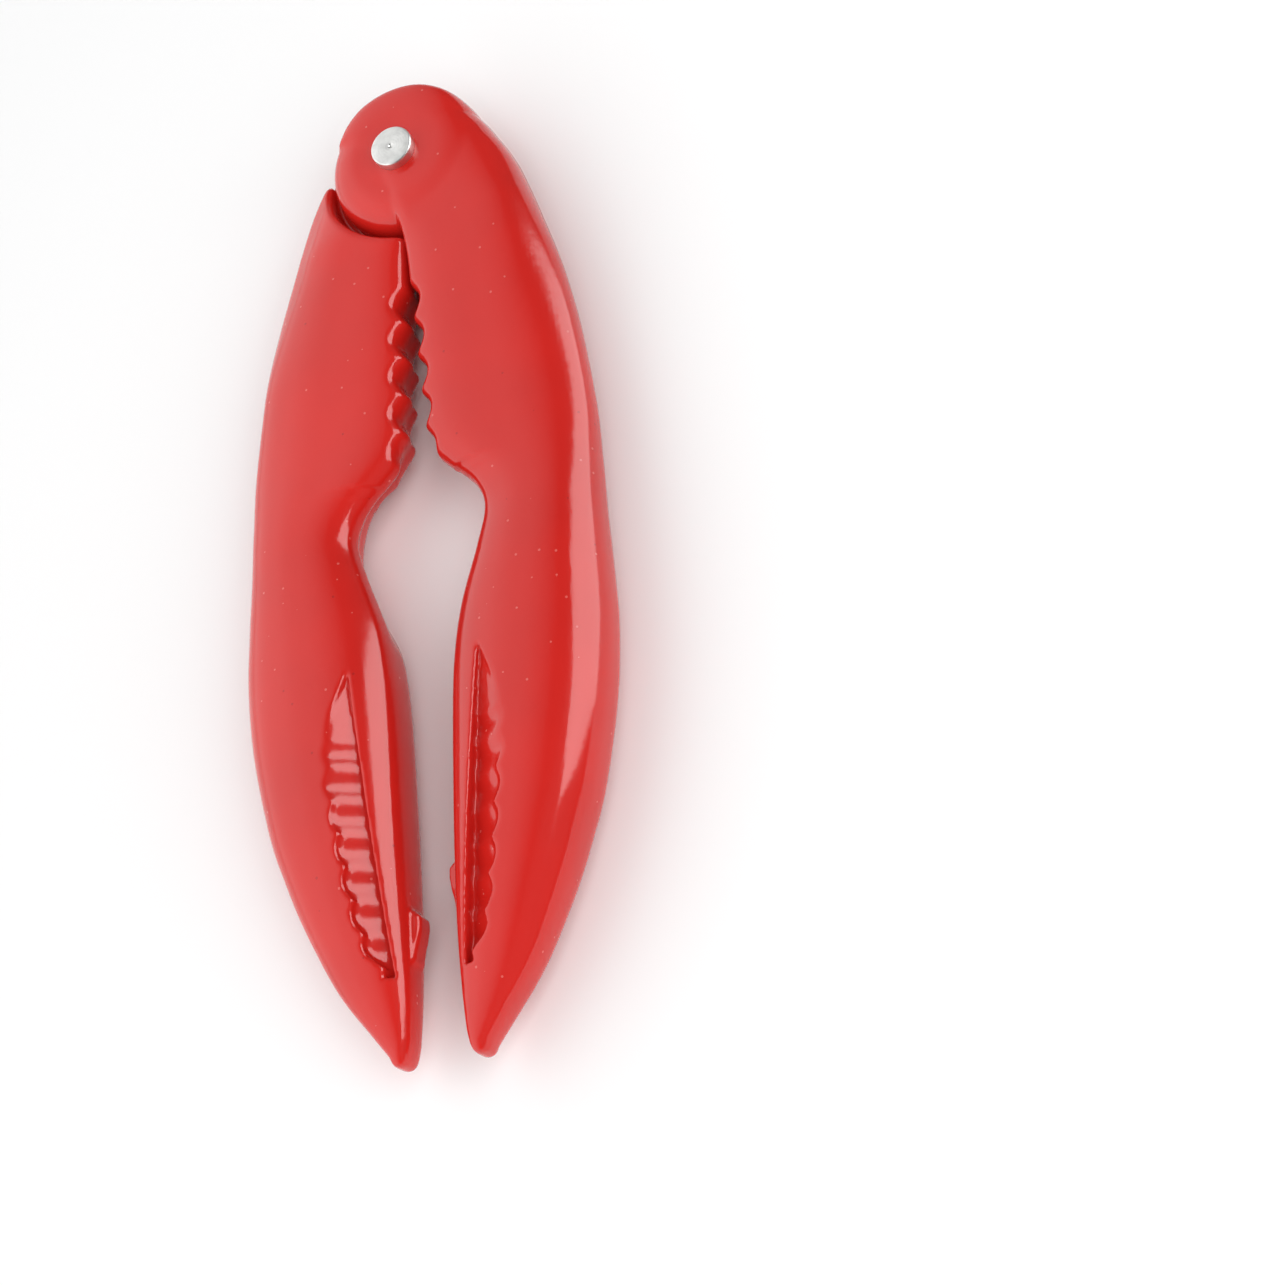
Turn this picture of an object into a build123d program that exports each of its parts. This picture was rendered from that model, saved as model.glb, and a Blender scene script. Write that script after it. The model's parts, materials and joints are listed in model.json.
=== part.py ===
"""Lobster cracker: two cast arms hinged on one rivet, with scalloped jaws and long crowned handles.

Millimetres. The origin is the centre of the rivet's flat tail, in the plane the cracker rests on.
+Z is up along the rivet and the arms point along -Y, open by the rest angle.
"""

from build123d import *
from math import cos, radians, sin
import os

# Overall sizes
handle_length = 83.5  # from the jaw's end to the tip
arm_width = 23.3  # from the middle plane, jaws closed, to the arm's widest point
crown_half_thickness = 6.8  # thickest point of the handle

# Knuckle joint
knuckle_radius = 11.5  # round half-lap plate of each arm
recess_gap = 0.7  # between a knuckle's rim and the other arm's curved shoulder
lap_gap = 0.1  # between the two knuckle plates
rim_fillet = 2.5  # knuckle's outer rim
flat_radius = 24.0  # flat faces around the pivot
shoulder_rise = 0.4  # how far the shoulder reaches past the pivot's centre line

# Rivet
shank_radius = 2.5
running_clearance = 0.05  # shank in the swinging arm's bore, and tail under its plate
head_overhang = 0.65
head_height = 1.6
tail_overhang = 0.8
tail_height = 0.75
dimple_radius = 0.45

# Neck and jaw
rest_angle = 2.4  # each arm is opened this much from jaws closed
jaw_gap = 0.05  # from the middle plane to the tooth crests when closed
neck_length = 20.9  # from the pivot to the first tooth
tooth_count = 5
tooth_pitch = 5.55
tooth_depth = 1.7

# Handle: stations are shares of its length, from the jaw's end down to the tip
nub_height = 1.5
nub_length = 7.0
right_nub_station = 0.690
left_nub_station = 0.756

# Handle grooves: straight on the inner side, scalloped on the outer side, with a sloping floor
groove_start_station = 0.375
groove_end_station = 0.902
first_lobe_station = 0.475
last_lobe_station = 0.878
groove_start_depth = 0.6  # below the handle's crown
groove_end_depth = 4.1
lobe_count = 7
lobe_bulge = 0.9

knuckle_half_thickness = crown_half_thickness - tail_height - running_clearance
mid_height = crown_half_thickness
recess_radius = knuckle_radius + recess_gap
head_radius = shank_radius + head_overhang
tail_radius = shank_radius + tail_overhang
jaw_start = -neck_length
jaw_end = jaw_start - tooth_count * tooth_pitch


def neck_point(across, station):
    """Point beside the neck and jaw, as shares of the arm's width and of the way from pivot to jaw's end."""
    return (across * arm_width, station * jaw_end)


def handle_point(across, station):
    """Point on the handle, as shares of the arm's width and of the handle's length."""
    return (across * arm_width, jaw_end - station * handle_length)


# Outer side of the arm, from the tip up to the knuckle
outer_side = [
    handle_point(0.050, 0.990),
    handle_point(0.310, 0.902),
    handle_point(0.605, 0.759),
    handle_point(0.816, 0.615),
    handle_point(0.963, 0.435),
    handle_point(1.005, 0.268),
    handle_point(0.989, 0.118),
    neck_point(1.004, 0.905),
    neck_point(0.938, 0.576),
    neck_point(0.800, 0.247),
    (1.19 * knuckle_radius, 0.18 * knuckle_radius),
    (0.80 * knuckle_radius, 0.66 * knuckle_radius),
    (0.18 * knuckle_radius, 0.98 * knuckle_radius),
]

# Cross-sections of the arm's crowned blank: centre, half width, half thickness as a share of the crown's
sections = [
    ((0.13 * arm_width, 1.4 * knuckle_radius), 0.69, 1.12),
    (neck_point(0.19, 0.0), 0.69, 1.12),
    (neck_point(0.37, 0.247), 0.52, 1.03),
    (neck_point(0.455, 0.493), 0.475, 0.87),
    (neck_point(0.495, 0.822), 0.515, 0.81),
    (handle_point(0.627, 0.112), 0.405, 0.87),
    (handle_point(0.532, 0.351), 0.495, 1.0),
    (handle_point(0.438, 0.555), 0.470, 0.985),
    (handle_point(0.279, 0.759), 0.358, 0.795),
    (handle_point(0.124, 0.902), 0.198, 0.56),
    (handle_point(0.009, 1.036), 0.086, 0.32),
]


def arm_plane(side):
    """Mid-plane of an arm, turned to its rest angle; the left arm is the right one turned over."""
    turn = radians(rest_angle)
    return Plane(
        origin=(0, 0, mid_height),
        x_dir=(side * cos(turn), sin(turn), 0),
        z_dir=(0, 0, side),
    )


def cross_plane(plane, x, y):
    """Plane across the arm at a station, facing the tip."""
    return Plane(
        origin=plane.from_local_coords((x, y, 0)),
        x_dir=plane.x_dir,
        z_dir=-plane.y_dir,
    )


def groove_plane(plane, face_side):
    """Sloping floor of the groove on one face of an arm."""
    start = handle_point(0, groove_start_station)[1]
    end = handle_point(0, groove_end_station)[1]
    start_height = crown_half_thickness - groove_start_depth
    rise = face_side * (groove_end_depth - groove_start_depth)
    y_dir = plane.y_dir * (start - end) + plane.z_dir * rise
    return Plane(
        origin=plane.from_local_coords((0, start, face_side * start_height)),
        x_dir=plane.x_dir,
        z_dir=plane.x_dir.cross(y_dir),
    )


def groove_point(across, station):
    """Point of the groove's outline on its sloping floor, across the arm and along the handle."""
    x, y = handle_point(across, station)
    return (x, y - handle_point(0, groove_start_station)[1])


def lobe_point(index):
    """Where two lobes of the groove's scalloped side meet."""
    share = index / lobe_count
    station = first_lobe_station + share * (last_lobe_station - first_lobe_station)
    return groove_point(0.378 - 0.253 * share, station)


def lobe_crest(index):
    """Outermost point of a lobe."""
    x, y = lobe_point(index + 0.5)
    return (x + lobe_bulge, y)


def make_arm(label, side, nub_station, bore_radius):
    """One arm, drawn with its teeth on the middle plane and its knuckle plate above it."""
    plane = arm_plane(side)
    nub_y = handle_point(0, nub_station)[1]
    with BuildPart() as arm:
        # Crowned blank, lens-shaped in section
        for centre, half_width, half_thickness in sections:
            with BuildSketch(cross_plane(plane, *centre)):
                Ellipse(half_width * arm_width, half_thickness * crown_half_thickness)
        loft()
        # Outline seen from above
        with BuildSketch(plane):
            with BuildLine():
                Line((0, 0), (jaw_gap, jaw_start))
                for tooth in range(tooth_count):
                    y = jaw_start - tooth * tooth_pitch
                    ThreePointArc(
                        (jaw_gap, y),
                        (jaw_gap + tooth_depth, y - tooth_pitch / 2),
                        (jaw_gap, y - tooth_pitch),
                    )
                Spline(
                    (jaw_gap, jaw_end),
                    handle_point(0.034, 0.015),
                    handle_point(0.107, 0.034),
                    handle_point(0.206, 0.053),
                    handle_point(0.305, 0.112),
                    handle_point(0.232, 0.184),
                    handle_point(0.124, 0.280),
                    handle_point(0.062, 0.375),
                    handle_point(0.015, 0.519),
                    (-0.45, nub_y + 2.0),
                    (-0.75, nub_y),
                )
                Line((-0.75, nub_y), (-0.85 - nub_height, nub_y - 1.0))
                Spline(
                    (-0.85 - nub_height, nub_y - 1.0),
                    (-0.6 - nub_height, nub_y - 0.5 * nub_length),
                    (-1.2, nub_y - nub_length - 1.0),
                    handle_point(-0.052, 0.902),
                    handle_point(-0.040, 0.986),
                )
                ThreePointArc(handle_point(-0.040, 0.986), handle_point(0, 1), outer_side[0])
                Spline(*outer_side)
                Line(outer_side[-1], (0, 0))
            make_face()
        extrude(amount=crown_half_thickness, both=True, mode=Mode.INTERSECT)
        # Flat faces beside the pivot
        for face_side in (1, -1):
            with BuildSketch(plane.offset(face_side * knuckle_half_thickness)):
                Circle(flat_radius)
            extrude(amount=face_side * crown_half_thickness, mode=Mode.SUBTRACT)
        # Room for the other arm's knuckle, then this arm's own plate
        with BuildSketch(plane.offset(lap_gap / 2)):
            Circle(recess_radius)
            with Locations((0, shoulder_rise)):
                Rectangle(2 * recess_radius, 2 * recess_radius, align=(Align.MIN, Align.MIN))
        extrude(amount=-2 * knuckle_half_thickness, mode=Mode.SUBTRACT)
        pivot_axis = Axis(plane.origin, plane.z_dir)
        with BuildSketch(cross_plane(plane, 0, 0)) as plate:
            with Locations((0, lap_gap / 2)):
                plate_size = (knuckle_radius, knuckle_half_thickness - lap_gap / 2)
                Rectangle(*plate_size, align=(Align.MIN, Align.MIN))
            fillet(plate.vertices().group_by(Axis.X)[-1].sort_by(Axis.Y)[-1], rim_fillet)
        revolve(axis=pivot_axis)
        with BuildSketch(plane.offset(knuckle_half_thickness)):
            Circle(bore_radius)
        extrude(amount=-2 * knuckle_half_thickness, mode=Mode.SUBTRACT)
        # Grooves in both faces of the handle
        for face_side in (1, -1):
            with BuildSketch(groove_plane(plane, face_side)):
                with BuildLine():
                    Line(groove_point(0.262, groove_start_station), lobe_point(0))
                    for lobe in range(lobe_count):
                        ThreePointArc(lobe_point(lobe), lobe_crest(lobe), lobe_point(lobe + 1))
                    Line(lobe_point(lobe_count), groove_point(0.039, groove_end_station))
                    Spline(
                        groove_point(0.039, groove_end_station),
                        groove_point(0.086, 0.736),
                        groove_point(0.167, 0.574),
                        groove_point(0.262, groove_start_station),
                    )
                make_face()
            extrude(amount=face_side * crown_half_thickness, mode=Mode.SUBTRACT)
    arm.part.label = label
    return arm


right_arm = make_arm("right_arm", 1, right_nub_station, shank_radius)
left_arm = make_arm("left_arm", -1, left_nub_station, shank_radius + running_clearance)

# Rivet: flat head above the right arm's plate, shank, and tail flattened under the left arm's plate
plate_top = mid_height + knuckle_half_thickness
with BuildPart() as pivot_rivet:
    with BuildSketch(Plane.XZ):
        with BuildLine():
            Polyline(
                (0, 0),
                (tail_radius, 0),
                (tail_radius, tail_height),
                (shank_radius, tail_height),
                (shank_radius, plate_top),
                (head_radius, plate_top),
                (head_radius, plate_top + head_height),
                (dimple_radius, plate_top + head_height),
                (0, plate_top + head_height - dimple_radius),
                (0, 0),
            )
        make_face()
    revolve(axis=Axis.Z)
pivot_rivet.part.label = "pivot_rivet"

os.makedirs("parts", exist_ok=True)
for piece in (right_arm, left_arm, pivot_rivet):
    export_step(piece.part, f"parts/{piece.part.label}.step")
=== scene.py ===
"""Looks of the lobster cracker: two red-coated castings and a bright steel rivet, built around the
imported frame.

Every shape is worked out in millimetres in the arm's own frame, with its teeth on the middle plane, its
tip towards -Y and its knuckle plate on the +Z side, and is then turned into the row frame in metres.
"""

import json
from math import cos, radians, sin, tau

import bpy
import numpy as np
from bpy.props import FloatProperty, FloatVectorProperty, IntProperty
from bpy.types import Operator, Panel, PropertyGroup
from mathutils import Matrix, Vector


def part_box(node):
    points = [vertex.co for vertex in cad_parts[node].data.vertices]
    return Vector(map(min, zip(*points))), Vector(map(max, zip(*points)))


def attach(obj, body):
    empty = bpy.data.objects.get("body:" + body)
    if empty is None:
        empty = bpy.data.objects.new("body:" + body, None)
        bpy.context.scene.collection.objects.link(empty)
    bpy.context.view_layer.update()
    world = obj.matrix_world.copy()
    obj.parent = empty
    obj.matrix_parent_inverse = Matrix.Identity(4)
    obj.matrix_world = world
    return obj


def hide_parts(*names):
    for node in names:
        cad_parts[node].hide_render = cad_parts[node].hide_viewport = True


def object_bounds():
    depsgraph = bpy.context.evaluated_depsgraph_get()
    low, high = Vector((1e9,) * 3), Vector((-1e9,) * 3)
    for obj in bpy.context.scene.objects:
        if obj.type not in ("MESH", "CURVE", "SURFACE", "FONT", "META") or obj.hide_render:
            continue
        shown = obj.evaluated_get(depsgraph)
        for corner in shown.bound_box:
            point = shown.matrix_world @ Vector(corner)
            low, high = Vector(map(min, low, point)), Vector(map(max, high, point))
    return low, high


bl_info = {
    "name": "Lobster cracker",
    "version": (1, 0, 0),
    "blender": (4, 5, 0),
    "location": "View3D > Sidebar > Cracker",
    "description": "Builds the looks of a hinged lobster cracker around its packed frame",
    "category": "Object",
}

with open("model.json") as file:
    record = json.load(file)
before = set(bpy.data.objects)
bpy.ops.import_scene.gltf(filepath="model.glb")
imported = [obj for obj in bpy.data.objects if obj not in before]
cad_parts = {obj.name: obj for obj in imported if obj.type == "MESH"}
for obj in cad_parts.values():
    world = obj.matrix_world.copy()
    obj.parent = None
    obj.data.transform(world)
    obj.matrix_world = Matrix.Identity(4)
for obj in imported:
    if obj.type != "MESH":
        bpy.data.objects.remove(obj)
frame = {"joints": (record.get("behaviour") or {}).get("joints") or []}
CAD_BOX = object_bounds()
MM = 0.001
RIVET_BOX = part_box("pivot_rivet")
JOINT = frame["joints"][0]
MID_HEIGHT = JOINT["pos_m"][2]
REST_ANGLE = radians(2.4)
RIGHT, LEFT = 1, -1

# Arm seen from above, jaws closed: points from the jaw's lower corner down the inner side to the tip
INNER_SIDE = [
    (0.1, -48.3),
    (0.8, -49.9),
    (2.5, -51.5),
    (4.8, -53.1),
    (6.5, -55.4),
    (7.1, -58.6),
    (5.5, -63.5),
    (3.7, -68.0),
    (2.0, -73.0),
    (0.7, -80.0),
    (-0.1, -88.0),
    (-0.6, -96.0),
    (-1.15, -104.0),
    (-1.5, -110.0),
    (-1.9, -117.0),
    (-2.1, -124.0),
    (-1.9, -129.0),
]
# Round of the tip, between the two sides
TIP = [(-1.2, -131.3), (-0.2, -132.1), (1.0, -131.8)]
# From the tip back up the outer side to the top of the head
OUTER_SIDE = [
    (1.9, -130.8),
    (4.4, -127.8),
    (7.4, -124.0),
    (10.2, -119.6),
    (14.2, -112.0),
    (16.8, -106.0),
    (19.2, -99.5),
    (22.0, -88.0),
    (23.3, -78.0),
    (23.5, -70.0),
    (23.5, -61.5),
    (23.7, -54.0),
    (23.7, -44.0),
    (22.1, -28.0),
    (19.3, -14.0),
    (16.3, -3.4),
    (14.5, 0.8),
    (12.8, 3.7),
    (10.9, 6.1),
    (8.8, 8.3),
    (6.4, 9.9),
    (3.7, 11.05),
    (0.7, 11.5),
]
# On around the head, and the point inside the knuckle where the outline closes
HEAD_SIDE = [(-2.5, 11.15), (-5.6, 9.9), (-8.0, 7.7), (-9.5, 5.0)]
OUTLINE_CLOSE = (-4.0, 2.0)
# Inner side of the crowned section, which runs smoothly past the jaw's corner and the knuckle
CROWN_SIDE = [
    (-134.0, -1.5),
    (-129.0, -2.1),
    (-117.0, -2.0),
    (-104.0, -1.25),
    (-92.0, -0.4),
    (-80.0, 0.65),
    (-72.0, 2.3),
    (-64.0, 5.1),
    (-58.0, 6.5),
    (-52.0, 4.2),
    (-45.0, 0.6),
    (-30.0, 0.0),
    (-14.0, 0.0),
    (-8.0, -6.0),
    (0.0, -11.0),
    (14.0, -11.0),
]
# Half thickness of the crowned section at stations along the arm
CROWN = [
    (-134.0, 1.9),
    (-130.0, 2.6),
    (-124.0, 3.7),
    (-117.0, 4.9),
    (-110.0, 5.8),
    (-102.0, 6.45),
    (-92.0, 6.75),
    (-82.0, 6.7),
    (-70.0, 6.1),
    (-58.0, 5.2),
    (-46.0, 4.6),
    (-36.0, 4.6),
    (-26.0, 5.2),
    (-16.0, 6.2),
    (-8.0, 6.7),
    (14.0, 6.8),
]
# Fullness of the inner half of the section: the jaw is nearly flat, the handle rolls over
INNER_POWER = [(-134.0, 2.5), (-62.0, 2.5), (-52.0, 3.0), (-46.0, 4.0), (14.0, 4.0)]
# How far past the inner side the section would close: the jaw keeps a wall, the handle has none
INNER_OVERHANG = [(-134.0, 1.02), (-60.0, 1.02), (-51.0, 1.06), (-44.0, 1.11), (-24.0, 1.16), (14.0, 1.2)]
OUTER_POWER = 2.5
# Outer edge of the groove at stations along the arm, before its lobes
GROOVE_RIM = [
    (-130.0, -0.4),
    (-121.0, 0.5),
    (-117.0, 2.9),
    (-110.0, 4.9),
    (-100.0, 6.9),
    (-88.3, 8.75),
    (-79.6, 6.2),
]
# Inner edge of the groove: its x at the apex, and its lean and bow over the groove's length
GROOVE_INNER = (6.15, -6.6, 0.35)
# Line along the groove on which its floor's side slope turns: x at the apex and lean towards the tip
GROOVE_TURN = (6.6, 0.115)

# Stations between which one feature of the arm gives way to the next
SHOULDER_ENDS = (-34.0, -12.0)
TABLE_EDGE_ENDS = (-76.0, -64.0)
HOLLOW_ENDS = (-44.0, -50.0)
HEAD_ENDS = (-6.0, 0.0)
FLAT_FACE_ENDS = (-26.0, -56.0)
STAND_OFF_TOP = (-12.0, -24.0)
STAND_OFF_TIP = (-128.0, -120.0)

# Widths over which two surfaces run into each other
FLAT_BLEND = 1.2
RECESS_BLEND = 1.2
PLATE_BLEND = 0.8
NUB_BLEND = 0.5
NUB_EDGE = 0.7
GROOVE_WALL_BLEND = 0.5
GROOVE_EDGE_BLEND = 0.45

STAND_OFF = 0.8  # outline past the crowned section on the outer side
FLAT_FACE_RISE = 4.0  # how far the flat faces part from the arm past the neck
NUB_DEPTH = 2.5  # how far a nub reaches into the handle
RIGHT_NUB, LEFT_NUB = -106.3, -111.8  # where each nub's step stands
RIGHT_BORE, LEFT_BORE = 2.5, 2.55
ARM_BOX = ((-12.6, -133.6, -8.0), (25.0, 12.6, 8.0))  # room that holds one arm

SHANK_RADIUS = 2.5
HEAD_RADIUS = 3.15
TAIL_RADIUS = 3.3
HEAD_HEIGHT = 1.6
TAIL_HEIGHT = 0.75

FLOOR_HALF = 3.0  # metres
FLOOR_GAP = 0.0001  # metres under the cracker
LIGHT_CENTRE = (0, -0.065, 0.007)
CAMERA_LENS = 77.38
CAMERA_TURN = (37.836, 58.137, -46.388)  # azimuth, elevation and roll in degrees
CAMERA_PLACE = (144.52, -229.00, 300.36)  # from the rivet's middle


class ArmSizes(PropertyGroup):
    """Sizes of one cast arm."""

    knuckle_radius: FloatProperty(
        name="Knuckle radius", description="Rim of the round half-lap plate", default=11.6 * MM, unit="LENGTH"
    )
    knuckle_half: FloatProperty(
        name="Knuckle half thickness", description="Thickness of one plate", default=6.0 * MM, unit="LENGTH"
    )
    rim_round: FloatProperty(
        name="Rim rounding", description="Rounding of the plate's rim", default=2.6 * MM, unit="LENGTH"
    )
    shoulder_drop: FloatProperty(
        name="Shoulder drop", description="How much lower the shoulder is than the plate's side",
        default=1.9 * MM, unit="LENGTH"
    )
    head_round: FloatProperty(
        name="Head rounding",
        description="Rounding of the body around the knuckle",
        default=1.2 * MM,
        unit="LENGTH",
    )
    recess_gap: FloatProperty(
        name="Recess gap",
        description="Between a plate and the other arm's shoulder",
        default=1.0 * MM,
        unit="LENGTH",
    )
    shoulder_y: FloatProperty(
        name="Shoulder end",
        description="Where the shoulder around the plate ends",
        default=0.4 * MM,
        unit="LENGTH",
    )
    lap_gap: FloatProperty(
        name="Lap gap", description="Between the two knuckle plates", default=0.1 * MM, unit="LENGTH"
    )
    jaw_line: FloatProperty(
        name="Jaw line",
        description="Tooth crests from the arm's own length axis",
        default=-0.9 * MM,
        unit="LENGTH",
    )
    jaw_start: FloatProperty(
        name="Jaw start",
        description="Where the teeth begin, along the arm",
        default=-20.9 * MM,
        unit="LENGTH",
    )
    tooth_pitch: FloatProperty(
        name="Tooth pitch", description="From one crest to the next", default=5.7 * MM, unit="LENGTH"
    )
    tooth_depth: FloatProperty(
        name="Tooth depth", description="From crest to valley", default=1.7 * MM, unit="LENGTH"
    )
    tooth_count: IntProperty(name="Teeth", description="Scallops in the jaw", default=5, min=1)
    nub_height: FloatProperty(
        name="Nub height", description="Stop on the handle's inner side", default=0.9 * MM, unit="LENGTH"
    )
    nub_length: FloatProperty(
        name="Nub length",
        description="Along the handle",
        default=7.0 * MM,
        unit="LENGTH",
    )
    nub_thickness: FloatProperty(
        name="Nub thickness", description="Across the parting line", default=3.4 * MM, unit="LENGTH"
    )
    casting_round: FloatProperty(
        name="Casting rounding", description="Rounding of cast edges", default=0.7 * MM, unit="LENGTH"
    )
    under_round: FloatProperty(
        name="Under rounding",
        description="Rounding of the edges that face the table",
        default=1.5 * MM,
        unit="LENGTH",
    )
    hollow_round: FloatProperty(
        name="Hollow rounding",
        description="Further rounding in the cracking hollow",
        default=2.2 * MM,
        unit="LENGTH",
    )
    shoulder_inset: FloatProperty(
        name="Shoulder inset", description="How much narrower the shoulder is than the plate's side",
        default=1.9 * MM, unit="LENGTH"
    )
    grid: FloatProperty(
        name="Surface grid",
        description="Spacing of the grid the surface is read from",
        default=0.3 * MM,
        unit="LENGTH",
    )


class GrooveSizes(PropertyGroup):
    """Sizes of the scalloped groove in a handle."""

    start: FloatProperty(name="Start", description="Apex, along the arm", default=-79.6 * MM, unit="LENGTH")
    end: FloatProperty(name="End", description="Last lobe, along the arm", default=-121.0 * MM, unit="LENGTH")
    first_lobe: FloatProperty(
        name="First lobe",
        description="Where the lobes begin, along the arm",
        default=-88.3 * MM,
        unit="LENGTH",
    )
    pitch: FloatProperty(name="Lobe pitch", description="From lobe to lobe", default=4.5 * MM, unit="LENGTH")
    bulge: FloatProperty(name="Lobe bulge", description="Reach of a lobe", default=0.85 * MM, unit="LENGTH")
    start_height: FloatProperty(
        name="Start height",
        description="Floor at the apex, above the middle",
        default=5.55 * MM,
        unit="LENGTH",
    )
    end_height: FloatProperty(
        name="End height",
        description="Floor at the last lobe, above the middle",
        default=2.6 * MM,
        unit="LENGTH",
    )
    side_slope: FloatProperty(
        name="Side slope",
        description="Rise of the floor towards the outer side",
        default=0.6,
    )
    ripple: FloatProperty(
        name="Ripple",
        description="Rise and fall of the floor",
        default=0.155 * MM,
        unit="LENGTH",
    )


class CrackerLooks(PropertyGroup):
    """Colours of the coating and the rivet."""

    coat: FloatVectorProperty(
        name="Coating",
        description="Red of the coating",
        subtype="COLOR",
        size=3,
        default=(0.63, 0.018, 0.013),
    )
    # Pinholes are real pits in the coating; this darker red is painted shade inside them
    pit: FloatVectorProperty(
        name="Pits",
        description="Dark pinholes in the coating",
        subtype="COLOR",
        size=3,
        default=(0.25, 0.01, 0.01),
    )
    speck: FloatVectorProperty(
        name="Specks", description="Pale dust specks", subtype="COLOR", size=3, default=(0.9, 0.32, 0.28)
    )
    steel: FloatVectorProperty(
        name="Steel",
        description="Bright steel of the rivet",
        subtype="COLOR",
        size=3,
        default=(0.82, 0.82, 0.80),
    )
    floor: FloatVectorProperty(
        name="Floor", description="Pale studio floor", subtype="COLOR", size=3, default=(0.93, 0.93, 0.93)
    )


def in_mm(group):
    """The sizes of a property group as plain numbers, lengths in millimetres."""
    sizes = {}
    for name in group.__annotations__:
        unit = group.bl_rna.properties[name].unit
        sizes[name] = getattr(group, name) / (MM if unit == "LENGTH" else 1)
    return sizes


# ---------------------------------------------------------------- shape functions


def smooth_path(points, step=0.35):
    """Catmull-Rom curve through the points: on each span, the cubic whose end slopes are the chords of the
    neighbours, read at even steps."""
    p = np.array(points, float)
    p = np.vstack([2 * p[0] - p[1], p, 2 * p[-1] - p[-2]])
    spans = []
    for a, b, c, d in zip(p[:-3], p[1:-2], p[2:-1], p[3:]):
        count = max(2, int(np.linalg.norm(c - b) / step))
        t = np.linspace(0, 1, count, endpoint=False)[:, None]
        spans.append(
            0.5 * (2 * b + (c - a) * t + (2 * a - 5 * b + 4 * c - d) * t**2 + (3 * b - a - 3 * c + d) * t**3)
        )
    return np.vstack(spans + [p[-2][None]])


def along(table, y):
    """Smooth value of a table of (station, value) at y: the Catmull-Rom curve through it, read by
    station."""
    curve = smooth_path(table, 1.0)
    return np.interp(y, curve[:, 0], curve[:, 1])


def side_distance(x, y, path):
    """Signed distance from points to an open or closed path of short straight steps: the least distance
    to any step, positive inside the closed path by the even-odd rule."""
    start, end = path, np.roll(path, -1, axis=0)
    run = end - start
    length2 = np.maximum((run**2).sum(1), 1e-12)
    flat = np.stack([x.ravel(), y.ravel()], 1)
    best = np.empty(len(flat))
    inside = np.empty(len(flat), bool)
    for first in range(0, len(flat), 4000):
        rows = slice(first, first + 4000)
        away = flat[rows, None, :] - start[None]
        share = np.clip((away * run).sum(2) / length2, 0, 1)
        best[rows] = np.sqrt(((away - share[..., None] * run) ** 2).sum(2).min(1))
        spans = (start[:, 1] > flat[rows, 1:2]) != (end[:, 1] > flat[rows, 1:2])
        rise = np.where(run[:, 1] == 0, 1e-12, run[:, 1])
        crossing = start[:, 0] + (flat[rows, 1:2] - start[:, 1]) * run[:, 0] / rise
        inside[rows] = (spans & (flat[rows, 0:1] < crossing)).sum(1) % 2 == 1
    return np.where(inside, best, -best).reshape(x.shape)


def soft_min(a, b, radius):
    """The lesser of two fields, rounded off where they are within the radius of each other."""
    near = np.clip(1 - np.abs(a - b) / radius, 0, 1)
    return np.minimum(a, b) - 0.25 * radius * near**2


def soft_max(a, b, radius):
    """The greater of two fields, filleted where they are within the radius of each other."""
    return -soft_min(-a, -b, radius)


def smooth_step(value):
    """0 below 0, 1 above 1, and 3v^2 - 2v^3 between."""
    v = np.clip(value, 0, 1)
    return v * v * (3 - 2 * v)


def rise(value, start, end):
    """Smooth step from 0 where the value is at start to 1 where it is at end."""
    return smooth_step((value - start) / (end - start))


def jaw_edge(y, size):
    """Inner side of the neck and jaw: a straight edge, then a row of scallops, each |sin| of its phase
    with the crest rounded off."""
    phase = (size["jaw_start"] - y) / size["tooth_pitch"]
    round_off = 0.22
    crest = np.sqrt(1 + round_off**2) - round_off
    wave = (np.sqrt(np.sin(np.pi * phase) ** 2 + round_off**2) - round_off) / crest
    toothed = (phase > 0) & (phase < size["tooth_count"])
    return size["jaw_line"] + np.where(toothed, size["tooth_depth"] * wave, 0.0)


def outer_x(y):
    """Outer side of the arm as x for each y."""
    path = smooth_path(OUTER_SIDE)
    return np.interp(y, path[:, 1], path[:, 0])


def arm_outline(size):
    """The arm from above as one closed path: neck and teeth, inner side, tip, outer side. The path
    stands off the outer side a little, so that the crowned section alone rolls over there."""
    jaw_end = size["jaw_start"] - size["tooth_count"] * size["tooth_pitch"]
    y = np.arange(-6.0, jaw_end, -0.2)
    jaw = np.stack([jaw_edge(y, size), y], 1)
    side = smooth_path(INNER_SIDE)
    tip = smooth_path([tuple(side[-1]), *TIP, OUTER_SIDE[0]])[1:-1]
    outer = smooth_path(OUTER_SIDE + HEAD_SIDE)
    y = outer[:, 1]
    outer[:, 0] += STAND_OFF * rise(y, *STAND_OFF_TOP) * rise(y, *STAND_OFF_TIP)
    return np.vstack([jaw, side, tip, outer, [OUTLINE_CLOSE]])


def crown_field(x, y, z, size):
    """Crowned body: T (1 - (u^p + |z/T|^p)^(1/p)), where T is the half thickness at that station and u
    runs from 0 at the middle of the arm's width to 1 at either side. Beside the knuckle the shoulder's
    half is narrower and lower than the plate's half."""
    shoulder = rise(y, *SHOULDER_ENDS) * rise(z, 0.0, -3.0)
    inner = along(CROWN_SIDE, y)
    outer = outer_x(np.minimum(y, 4.0)) - size["shoulder_inset"] * shoulder
    middle = 0.5 * (inner + outer)
    half = np.maximum(0.5 * (outer - inner), 0.8)
    on_inner = x < middle
    u = np.abs(x - middle) / np.where(on_inner, along(INNER_OVERHANG, y) * half, half)
    power = np.where(on_inner, along(INNER_POWER, y), OUTER_POWER)
    thick = along(CROWN, y) - size["shoulder_drop"] * shoulder
    return thick * (1 - (u**power + (np.abs(z) / thick) ** power) ** (1 / power))


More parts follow.
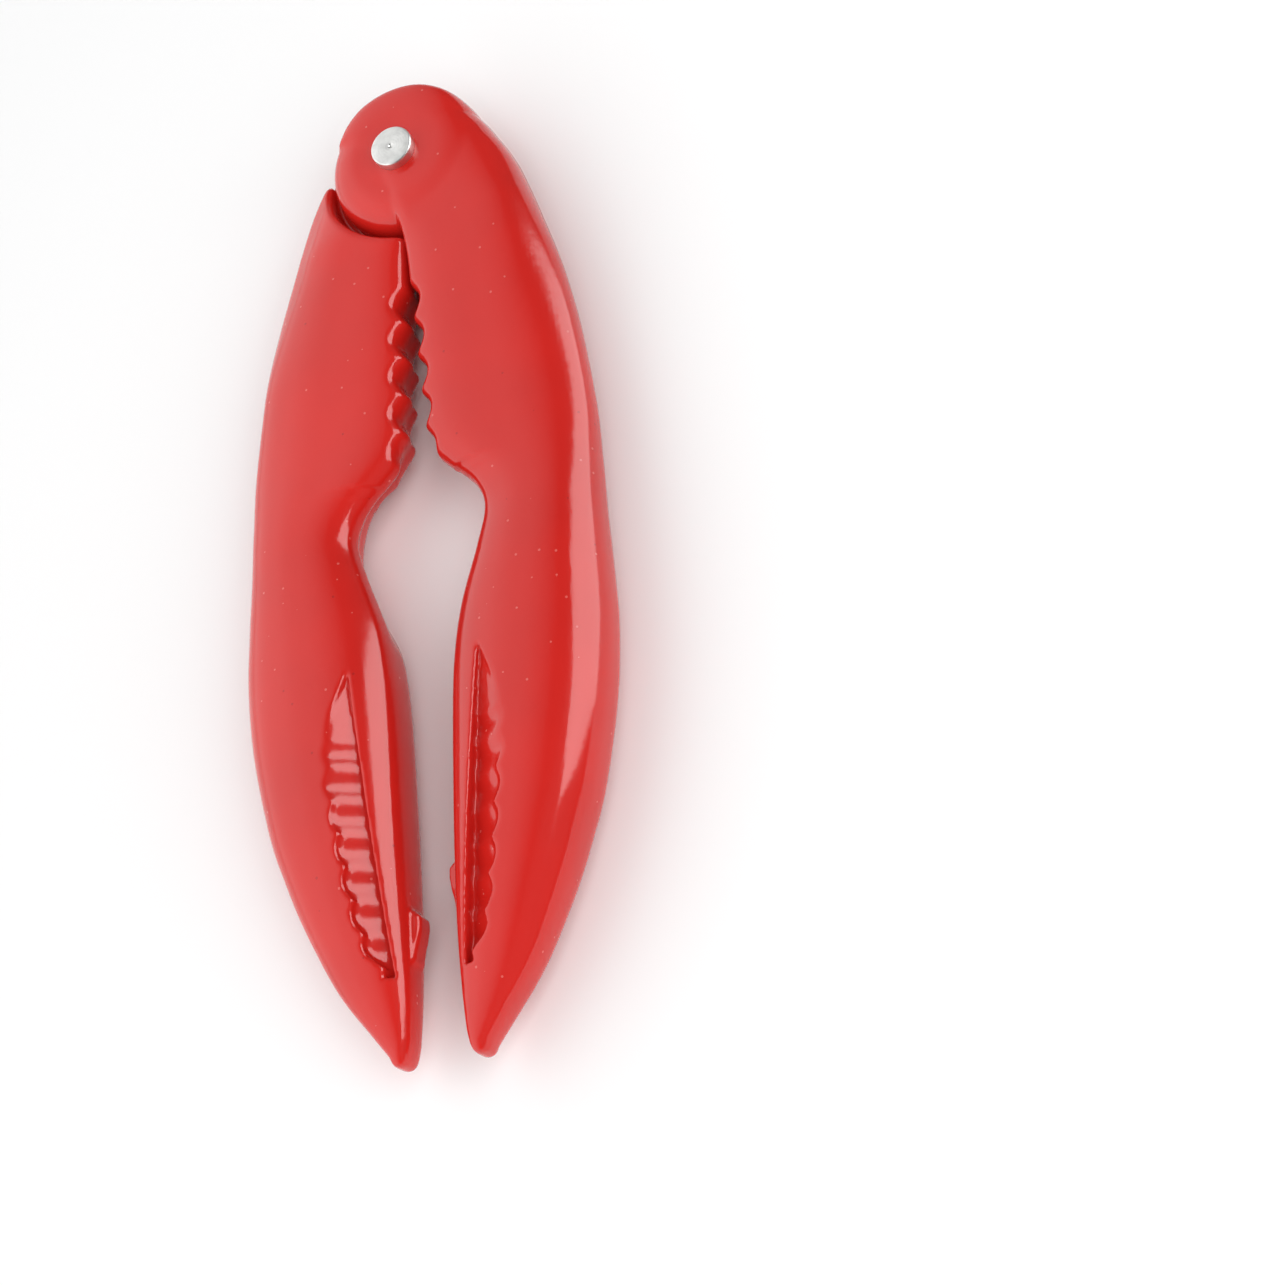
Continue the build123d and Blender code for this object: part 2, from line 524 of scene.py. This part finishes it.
def nub_field(x, y, z, size, nub_y):
    """Small cast lump on the handle's inner side: it starts with a step, falls away over its length
    towards the tip, and is thin in height."""
    below = (nub_y - y) / size["nub_length"]
    reach = size["nub_height"] * smooth_step(below / 0.16) * (1 - smooth_step((below - 0.25) / 0.75))
    from_side = x - along(CROWN_SIDE, y)
    lump = np.minimum(from_side + reach, NUB_DEPTH - from_side)
    lump = np.minimum(lump, np.minimum(nub_y - y, y - nub_y + size["nub_length"]))
    return soft_min(lump, 0.5 * size["nub_thickness"] - np.abs(z), NUB_EDGE)


def groove_outline(groove):
    """The groove from above: a straight inner edge, and an outer edge that widens from the apex and
    then swells into one lobe after another as |sin| of its phase."""
    y = np.arange(groove["start"], groove["end"], -0.2)
    fall = (groove["start"] - y) / (groove["start"] - groove["end"])
    apex, lean, bow = GROOVE_INNER
    inner = apex + lean * fall + bow * fall * fall
    phase = (groove["first_lobe"] - y) / groove["pitch"]
    lobes = groove["bulge"] * np.abs(np.sin(np.pi * phase)) * (phase > 0)
    outer = along(GROOVE_RIM, y) + lobes
    return np.vstack([np.stack([inner, y], 1), np.stack([outer, y], 1)[::-1]])


def groove_cut(x, y, z, groove):
    """Field that is positive inside the groove's tool: within the outline and above a sloping plane
    floor, which rises and falls once for each lobe after the smooth first part."""
    inside = side_distance(x[:, :, :1], y[:, :, :1], groove_outline(groove))
    phase = (groove["first_lobe"] - y) / groove["pitch"]
    ripple = groove["ripple"] * np.cos(2 * np.pi * (phase - 0.5)) * smooth_step(phase * 4)
    slope = (groove["start_height"] - groove["end_height"]) / (groove["start"] - groove["end"])
    below = groove["start"] - y
    turn_x, turn_lean = GROOVE_TURN
    side_rise = groove["side_slope"] * (x - turn_x + turn_lean * below)
    floor = groove["start_height"] - slope * below + side_rise
    return soft_min(inside + 0.0 * z, z - floor + ripple, GROOVE_WALL_BLEND)


def arm_field(x, y, z, side, size, groove, nub_y, bore):
    """Field that is zero on the arm's surface and positive inside it, close to a distance in
    millimetres.

    The crowned body meets the outline with a cast rounding, flat knuckle faces and the groove are taken
    off it, the other arm's knuckle is cut out, and this arm's own plate is filleted on.
    """
    x2, y2 = x[:, :, :1], y[:, :, :1]
    outline = side_distance(x2, y2, arm_outline(size))
    radius = np.hypot(x2, y2)
    body = crown_field(x, y, z, size)
    facing_table = smooth_step(0.5 - side * z / 3.0)
    under = facing_table * (1 - rise(x, 6.0, 12.0)) * rise(y, *TABLE_EDGE_ENDS)
    under_round = size["under_round"] + size["hollow_round"] * rise(y, *HOLLOW_ENDS)
    rounding = size["casting_round"] + under * (under_round - size["casting_round"])
    rounding = rounding + rise(y, *HEAD_ENDS) * (size["head_round"] - rounding)
    body = soft_min(body, outline + 0 * z, 2 * rounding)
    body = soft_max(body, nub_field(x, y, z, size, nub_y), NUB_BLEND)
    flat = size["knuckle_half"] + FLAT_FACE_RISE * rise(y, *FLAT_FACE_ENDS) - np.abs(z)
    body = soft_min(body, flat, FLAT_BLEND)
    body = soft_min(body, -groove_cut(x, y, np.abs(z), groove), GROOVE_EDGE_BLEND)
    recess = size["knuckle_radius"] + size["recess_gap"] - radius
    cut = np.maximum(recess, np.minimum(y2 - size["shoulder_y"], 4.0))
    cut = np.minimum(cut, size["lap_gap"] / 2 - z)
    body = soft_min(body, -cut, RECESS_BLEND)
    plate = soft_min(size["knuckle_radius"] - radius + 0 * z, size["knuckle_half"] - z, 2 * size["rim_round"])
    plate = np.minimum(plate, z - size["lap_gap"] / 2)
    return np.minimum(soft_max(body, plate, PLATE_BLEND), radius - bore)


def level_surface(field, low, step):
    """Closed surface where a field on an even grid is zero, as points and four-sided faces.

    One point stands in each cell that the surface passes through, at the mean of its crossings on the
    cell's edges. One face stands across each grid edge that the surface crosses, joining the four cells
    around it.
    """
    solid = field > 0
    shape = np.array(field.shape) - 1
    total = np.zeros((*shape, 3))
    count = np.zeros(shape)
    faces = []
    for axis in range(3):
        others = [a for a in range(3) if a != axis]
        lower = [slice(None)] * 3
        upper = [slice(None)] * 3
        lower[axis], upper[axis] = slice(None, -1), slice(1, None)
        f0, f1 = field[tuple(lower)], field[tuple(upper)]
        crossed = np.argwhere(solid[tuple(lower)] != solid[tuple(upper)])
        a, b = f0[tuple(crossed.T)], f1[tuple(crossed.T)]
        place = crossed.astype(float)
        place[:, axis] += a / (a - b)
        corners = []
        for du, dv in ((0, 0), (-1, 0), (-1, -1), (0, -1)):
            cell = crossed.copy()
            cell[:, others[0]] += du
            cell[:, others[1]] += dv
            np.add.at(total, tuple(cell.T), place)
            np.add.at(count, tuple(cell.T), 1)
            corners.append(np.ravel_multi_index(cell.T, shape))
        quad = np.stack(corners, 1)
        turn = (a > 0) == (axis != 1)
        quad[~turn] = quad[~turn][:, ::-1]
        faces.append(quad)
    faces = np.vstack(faces)
    used = np.flatnonzero(count.ravel())
    renumber = np.zeros(count.size, int)
    renumber[used] = np.arange(len(used))
    points = total.reshape(-1, 3)[used] / count.ravel()[used, None]
    return low + points * step, renumber[faces]


def relax(points, faces, rounds=2):
    """Evens out the grid's print on the surface: each point moves half way to the mean of its
    neighbours, then back by a little more than that, which keeps the volume."""
    ends = np.vstack([faces[:, [0, 1]], faces[:, [1, 2]], faces[:, [2, 3]], faces[:, [3, 0]]])
    degree = np.bincount(ends.ravel(), minlength=len(points))[:, None]
    for share in (0.5, -0.53) * rounds:
        total = np.zeros_like(points)
        np.add.at(total, ends[:, 0], points[ends[:, 1]])
        np.add.at(total, ends[:, 1], points[ends[:, 0]])
        points = points + share * (total / degree - points)
    return points


def into_row_frame(points, side):
    """Turns points from the arm's frame in millimetres into the row frame in metres. The left arm is
    the right one turned over about the arm's length."""
    x, y, z = (points * MM).T
    turned_x = x * cos(REST_ANGLE) - y * sin(REST_ANGLE)
    turned_y = x * sin(REST_ANGLE) + y * cos(REST_ANGLE)
    return np.stack([side * turned_x, turned_y, MID_HEIGHT + side * z], 1)


def new_piece(name, points, faces, material, body, replaced):
    """A smooth-shaded mesh object at the origin that rides on a body and stands for a CAD node."""
    mesh = bpy.data.meshes.new(name)
    mesh.from_pydata(points, [], faces)
    mesh.polygons.foreach_set("use_smooth", np.ones(len(mesh.polygons), bool))
    mesh.materials.append(material)
    mesh.update()
    piece = bpy.data.objects.new(name, mesh)
    bpy.context.scene.collection.objects.link(piece)
    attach(piece, body)
    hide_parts(replaced)
    return piece


def turned_surface(profile, segments, centre):
    """A profile of (radius, height) turned once about +Z at the centre: point i, j is profile point i
    at angle j of a full turn. Points on the axis become one pole each, and the ends must lie on the
    axis."""
    profile = np.array(profile)
    angle = np.arange(segments) * tau / segments
    rings = profile[1:-1]
    ring_points = np.stack(
        [
            np.outer(rings[:, 0], np.cos(angle)),
            np.outer(rings[:, 0], np.sin(angle)),
            np.repeat(rings[:, 1:2], segments, 1),
        ],
        2,
    ).reshape(-1, 3)
    points = np.vstack([[0, 0, profile[0, 1]], ring_points, [0, 0, profile[-1, 1]]]) + centre
    here = np.arange(segments)
    after = (here + 1) % segments
    faces = [[0, 1 + b, 1 + a] for a, b in zip(here, after)]
    for ring in range(len(rings) - 1):
        low, high = 1 + ring * segments, 1 + (ring + 1) * segments
        faces += np.stack([low + here, low + after, high + after, high + here], 1).tolist()
    last, first = len(points) - 1, 1 + (len(rings) - 1) * segments
    faces += [[last, first + a, first + b] for a, b in zip(here, after)]
    return points, faces


# ---------------------------------------------------------------- materials


class Wire:
    """A socket of a material's nodes, with arithmetic that adds Math nodes."""

    def __init__(self, nodes, socket):
        self.nodes = nodes
        self.socket = socket

    def math(self, operation, other=None):
        inputs = {0: self} if other is None else {0: self, 1: other}
        return self.nodes.add("ShaderNodeMath", {"operation": operation}, inputs)

    def __add__(self, other):
        return self.math("ADD", other)

    def __sub__(self, other):
        return self.math("SUBTRACT", other)

    def __mul__(self, other):
        return self.math("MULTIPLY", other)

    def __gt__(self, other):
        return self.math("GREATER_THAN", other)

    def __lt__(self, other):
        return self.math("LESS_THAN", other)

    __radd__ = __add__


class Nodes:
    """A material's node tree, with one method that adds any node."""

    def __init__(self, name):
        self.material = bpy.data.materials.new(name)
        self.material.use_nodes = True
        self.tree = self.material.node_tree
        self.shader = self.tree.nodes["Principled BSDF"]

    def add(self, kind, settings=None, inputs=None, output=0):
        """Adds a node, makes its settings, then sets or links its sockets, and gives one output as a
        Wire."""
        node = self.tree.nodes.new(kind)
        for key, value in (settings or {}).items():
            setattr(node, key, value)
        for key, value in (inputs or {}).items():
            self.feed(node.inputs[key], value)
        return Wire(self, node.outputs[output])

    def feed(self, socket, value):
        if isinstance(value, Wire):
            self.tree.links.new(value.socket, socket)
        elif hasattr(value, "__len__") and len(value) == 3 and socket.type == "RGBA":
            socket.default_value = (*value, 1)
        else:
            socket.default_value = value

    def surface(self, **inputs):
        """Sets or links inputs of the Principled shader, named with underscores for spaces."""
        for key, value in inputs.items():
            self.feed(self.shader.inputs[key.replace("_", " ")], value)

    def ramp(self, value, low, high):
        """0 below low, 1 above high, and even between."""
        return self.add("ShaderNodeMapRange", None, {"Value": value, "From Min": low, "From Max": high})

    def noise(self, where, scale, detail=2.0, roughness=0.5):
        inputs = {"Vector": where, "Scale": scale, "Detail": detail, "Roughness": roughness}
        return self.add("ShaderNodeTexNoise", None, inputs)

    def cells(self, where, scale):
        """Distance to the nearest of a scatter of points, and that point's random value."""
        inputs = {"Vector": where, "Scale": scale}
        node = self.add("ShaderNodeTexVoronoi", None, inputs)
        random = Wire(self, node.socket.node.outputs["Color"])
        return node, self.add("ShaderNodeSeparateColor", None, {"Color": random})

    def blend(self, share, first, second):
        inputs = {"Factor": share, 6: first, 7: second}
        return self.add("ShaderNodeMix", {"data_type": "RGBA"}, inputs, output=2)

    def bump(self, height, distance, strength=1.0, normal=None):
        inputs = {"Height": height, "Distance": distance, "Strength": strength}
        if normal is not None:
            inputs["Normal"] = normal
        return self.add("ShaderNodeBump", None, inputs)


def red_coating(looks):
    """Glossy baked coating: an even red with soft drifts of tone, scattered pale specks, pinholes whose
    darker red is painted shade inside them, and a fine orange-peel bump."""
    nodes = Nodes("red_coating")
    where = nodes.add("ShaderNodeTexCoord", output=3)
    drift = nodes.noise(where, 45.0, 3.0)
    tone = nodes.blend(nodes.ramp(drift, 0.3, 0.75), tuple(looks.coat), tuple(0.86 * c for c in looks.coat))
    near_speck, speck_chance = nodes.cells(where, 900.0)
    speck = (near_speck < 0.16) * (speck_chance > 0.93)
    # Pinholes: real pits, bumped in below, coloured darker as painted shade inside them
    near_pit, pit_chance = nodes.cells(where, 700.0)
    pit = (near_pit < 0.13) * (pit_chance > 0.95)
    colour = nodes.blend(speck * 0.3, tone, tuple(looks.speck))
    colour = nodes.blend(pit * 0.45, colour, tuple(looks.pit))
    peel = nodes.noise(where, 900.0, 2.0, 0.5)
    swell = nodes.noise(where, 230.0, 1.0, 0.5)
    height = peel * 0.5 + swell * 0.8 + speck * 0.6 - pit * 0.9
    nodes.surface(
        Base_Color=colour,
        Roughness=0.10 + drift * 0.06,
        IOR=1.5,
        Normal=nodes.bump(height, 0.00003, 0.8),
    )
    return nodes.material


def bright_steel(looks):
    """Bare bright steel: fine rings left by turning on the face, faint scratches and smudges."""
    nodes = Nodes("bright_steel")
    where = nodes.add("ShaderNodeTexCoord", output=3)
    across = nodes.add("ShaderNodeVectorMath", {"operation": "MULTIPLY"}, {0: where, 1: (1, 1, 0)})
    radius = nodes.add("ShaderNodeVectorMath", {"operation": "LENGTH"}, {0: across}, output=1)
    rings = (radius * 16000.0).math("SINE")
    smudge = nodes.noise(where, 700.0, 4.0, 0.6)
    scratch = nodes.noise(where, 2600.0, 2.0, 0.5)
    dulled = tuple(0.8 * c for c in looks.steel)
    colour = nodes.blend(nodes.ramp(smudge, 0.35, 0.7), tuple(looks.steel), dulled)
    nodes.surface(
        Base_Color=colour,
        Metallic=1.0,
        Roughness=0.26 + smudge * 0.2,
        Normal=nodes.bump(rings * 0.3 + scratch * 0.7, 0.00001, 0.7),
    )
    return nodes.material


def pale_floor(looks):
    """Smooth matte studio floor with the faintest drift of tone."""
    nodes = Nodes("pale_floor")
    where = nodes.add("ShaderNodeTexCoord", output=3)
    drift = nodes.noise(where, 3.0)
    colour = nodes.blend(drift, tuple(looks.floor), tuple(0.985 * c for c in looks.floor))
    nodes.surface(Base_Color=colour, Roughness=0.7)
    return nodes.material


# ---------------------------------------------------------------- operators


def add_arm(name, body, side, nub_y, bore):
    """One arm's surface, read from its field on an even grid."""
    scene = bpy.context.scene
    size = in_mm(scene.cracker_arm)
    groove = in_mm(scene.cracker_groove)
    step = size["grid"]
    low, high = np.array(ARM_BOX)
    axes = [np.arange(a, b + step, step) for a, b in zip(low, high)]
    x, y, z = np.meshgrid(*axes, indexing="ij")
    field = arm_field(x, y, z, side, size, groove, nub_y, bore)
    points, faces = level_surface(field, low, step)
    points = relax(points, faces)
    return new_piece(
        name,
        into_row_frame(points, side),
        faces,
        bpy.data.materials["red_coating"],
        body,
        name.replace("_casting", ""),
    )


class CRACKER_OT_materials(Operator):
    """Make the coating, steel and floor materials"""

    bl_idname = "cracker.materials"
    bl_label = "Materials"

    def execute(self, context):
        looks = context.scene.cracker_looks
        red_coating(looks)
        bright_steel(looks)
        pale_floor(looks)
        return {"FINISHED"}


class CRACKER_OT_right_arm(Operator):
    """Build the right arm, which has the upper knuckle plate"""

    bl_idname = "cracker.right_arm"
    bl_label = "Right arm"

    def execute(self, context):
        add_arm("right_arm_casting", "fixed_arm", RIGHT, RIGHT_NUB, RIGHT_BORE)
        return {"FINISHED"}


class CRACKER_OT_left_arm(Operator):
    """Build the left arm, which has the lower knuckle plate"""

    bl_idname = "cracker.left_arm"
    bl_label = "Left arm"

    def execute(self, context):
        add_arm("left_arm_casting", "swinging_arm", LEFT, LEFT_NUB, LEFT_BORE)
        return {"FINISHED"}


class CRACKER_OT_rivet(Operator):
    """Build the rivet with its flat head and flattened tail"""

    bl_idname = "cracker.rivet"
    bl_label = "Rivet"

    def execute(self, context):
        top = RIVET_BOX[1].z / MM
        base = top - HEAD_HEIGHT
        profile = [
            (0.0, 0.0),
            (2.7, 0.0),
            (3.15, 0.12),
            (TAIL_RADIUS, 0.35),
            (TAIL_RADIUS, TAIL_HEIGHT - 0.1),
            (TAIL_RADIUS - 0.1, TAIL_HEIGHT),
            (SHANK_RADIUS, TAIL_HEIGHT),
            (SHANK_RADIUS, base),
            (HEAD_RADIUS - 0.1, base),
            (HEAD_RADIUS, base + 0.08),
            (HEAD_RADIUS, top - 0.2),
            (3.1, top - 0.07),
            (3.0, top),
            (2.0, top),
            (1.0, top),
            (0.42, top - 0.02),
            (0.25, top - 0.16),
            (0.1, top - 0.22),
            (0.0, top - 0.23),
        ]
        points, faces = turned_surface(profile, 96, (0, 0, 0))
        steel = bpy.data.materials["bright_steel"]
        points = points * MM
        piece = new_piece("rivet_turned", points, faces, steel, "fixed_arm", "pivot_rivet")
        bevel = piece.modifiers.new("edges", "BEVEL")
        bevel.width = 0.05 * MM
        bevel.segments = 2
        bevel.limit_method = "ANGLE"
        return {"FINISHED"}


class CRACKER_OT_stage(Operator):
    """Set up the pale floor, the soft studio lights and the camera"""

    bl_idname = "cracker.stage"
    bl_label = "Stage"

    def execute(self, context):
        height = CAD_BOX[0][2] - FLOOR_GAP
        corners = [(FLOOR_HALF * x, FLOOR_HALF * y, height) for x, y in ((-1, -1), (1, -1), (1, 1), (-1, 1))]
        mesh = bpy.data.meshes.new("studio_floor")
        mesh.from_pydata(corners, [], [(0, 1, 2, 3)])
        mesh.materials.append(bpy.data.materials["pale_floor"])
        floor = bpy.data.objects.new("studio_floor", mesh)
        context.scene.collection.objects.link(floor)
        centre = Vector(LIGHT_CENTRE)
        add_light("side_panel", centre, (0.79, 0.385, 0.477), 0.8, (0.61, 0.87), 7.5, diffuse=False)
        add_light("overhead_fill", centre, (0.60, -0.35, 0.72), 1.2, (1.6, 1.6), 17.0, glossy=False)
        context.scene.world = studio_world()
        context.scene.view_settings.view_transform = "Standard"
        add_camera(context.scene)
        return {"FINISHED"}


def studio_world():
    """Soft surround that grows brighter evenly towards -X, as a large diffused panel on that side would
    make it."""
    world = bpy.data.worlds.new("studio")
    world.use_nodes = True
    tree = world.node_tree
    tree.nodes["Background"].inputs["Color"].default_value = (1, 1, 1, 1)
    direction = tree.nodes.new("ShaderNodeTexCoord")
    parts = tree.nodes.new("ShaderNodeSeparateXYZ")
    growth = tree.nodes.new("ShaderNodeMapRange")
    growth.inputs["From Min"].default_value = 0.05
    growth.inputs["From Max"].default_value = -0.6
    growth.inputs["To Min"].default_value = 0.12
    growth.inputs["To Max"].default_value = 1.5
    tree.links.new(direction.outputs["Generated"], parts.inputs["Vector"])
    tree.links.new(parts.outputs["X"], growth.inputs["Value"])
    tree.links.new(growth.outputs["Result"], tree.nodes["Background"].inputs["Strength"])
    return world


def add_light(name, centre, direction, distance, size, power, glossy=True, diffuse=True):
    """A rectangular softbox that faces the cracker from a direction; a fill is left out of
    reflections, and a panel that is only reflected is left out of diffuse light."""
    light = bpy.data.lights.new(name, "AREA")
    light.shape = "RECTANGLE"
    light.size, light.size_y = size
    light.energy = power
    lamp = bpy.data.objects.new(name, light)
    way = Vector(direction).normalized()
    lamp.visible_glossy = glossy
    lamp.visible_diffuse = diffuse
    lamp.location = centre + way * distance
    lamp.rotation_euler = way.to_track_quat("Z", "Y").to_euler()
    bpy.context.scene.collection.objects.link(lamp)


def add_camera(scene):
    """Camera above the right arm's side, rolled so that the arms run down the frame."""
    data = bpy.data.cameras.new("camera")
    data.sensor_width = 36.0
    data.lens = CAMERA_LENS
    camera = bpy.data.objects.new("camera", data)
    azimuth, elevation, roll = (radians(angle) for angle in CAMERA_TURN)
    back = Vector((sin(azimuth) * cos(elevation), -cos(azimuth) * cos(elevation), sin(elevation)))
    level = Vector((cos(azimuth), sin(azimuth), 0))
    rise = back.cross(level)
    right = level * cos(roll) + rise * sin(roll)
    up = back.cross(right)
    matrix = Matrix((right, up, back)).transposed().to_4x4()
    matrix.translation = Vector(CAMERA_PLACE) * MM + Vector((0, 0, MID_HEIGHT))
    camera.matrix_world = matrix
    scene.collection.objects.link(camera)
    scene.camera = camera


STEPS = (
    CRACKER_OT_materials,
    CRACKER_OT_right_arm,
    CRACKER_OT_left_arm,
    CRACKER_OT_rivet,
    CRACKER_OT_stage,
)


class CRACKER_PT_sidebar(Panel):
    """Lists the cracker's sizes and its building steps."""

    bl_idname = "CRACKER_PT_sidebar"
    bl_label = "Lobster cracker"
    bl_space_type = "VIEW_3D"
    bl_region_type = "UI"
    bl_category = "Cracker"

    def draw(self, context):
        layout = self.layout
        for step in STEPS:
            layout.operator(step.bl_idname)
        for group in (context.scene.cracker_arm, context.scene.cracker_groove, context.scene.cracker_looks):
            box = layout.box()
            for name in group.__annotations__:
                box.prop(group, name)


CLASSES = (ArmSizes, GrooveSizes, CrackerLooks, *STEPS, CRACKER_PT_sidebar)


def register():
    for cls in CLASSES:
        bpy.utils.register_class(cls)
    bpy.types.Scene.cracker_arm = bpy.props.PointerProperty(type=ArmSizes)
    bpy.types.Scene.cracker_groove = bpy.props.PointerProperty(type=GrooveSizes)
    bpy.types.Scene.cracker_looks = bpy.props.PointerProperty(type=CrackerLooks)


def unregister():
    del bpy.types.Scene.cracker_looks
    del bpy.types.Scene.cracker_groove
    del bpy.types.Scene.cracker_arm
    for cls in reversed(CLASSES):
        bpy.utils.unregister_class(cls)


def main():
    register()
    bpy.ops.cracker.materials()
    bpy.ops.cracker.right_arm()
    bpy.ops.cracker.left_arm()
    bpy.ops.cracker.rivet()
    bpy.ops.cracker.stage()


if __name__ == "__main__":
    main()
